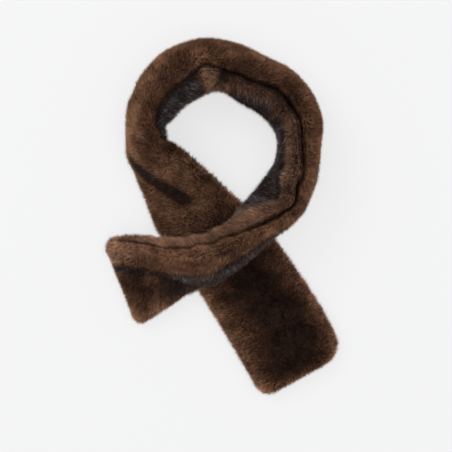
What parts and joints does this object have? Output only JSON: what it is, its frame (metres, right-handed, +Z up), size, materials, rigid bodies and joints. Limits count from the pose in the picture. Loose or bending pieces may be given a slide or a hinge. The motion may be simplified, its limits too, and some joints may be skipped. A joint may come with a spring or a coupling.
{
  "type": "fur collar wrap",
  "caption": "Double-sided short brown fur strip with rounded ends, laid flat in a loop and crossed over itself to wrap round a neck.",
  "frame": {"origin": "on the surface that the wrap lies on, below the middle of its outline", "axes": "+Z up from the surface, +X to the right and +Y away from the two ends towards the neck loop, as seen from above"},
  "size_m": [0.2893, 0.4377, 0.1053],
  "materials": {
    "face_fur": "dense short brown fur, soft sheen",
    "back_fur": "dense short dark brown fur with grey-blue tips"
  },
  "bodies": {
    "root": {"flat_end_face": "face_fur", "flat_end_back": "back_fur", "neck_left_face": "face_fur", "neck_left_back": "back_fur", "neck_right_face": "face_fur", "neck_right_back": "back_fur", "crossing_end_face": "face_fur", "crossing_end_back": "back_fur"}
  },
  "joints": []
}
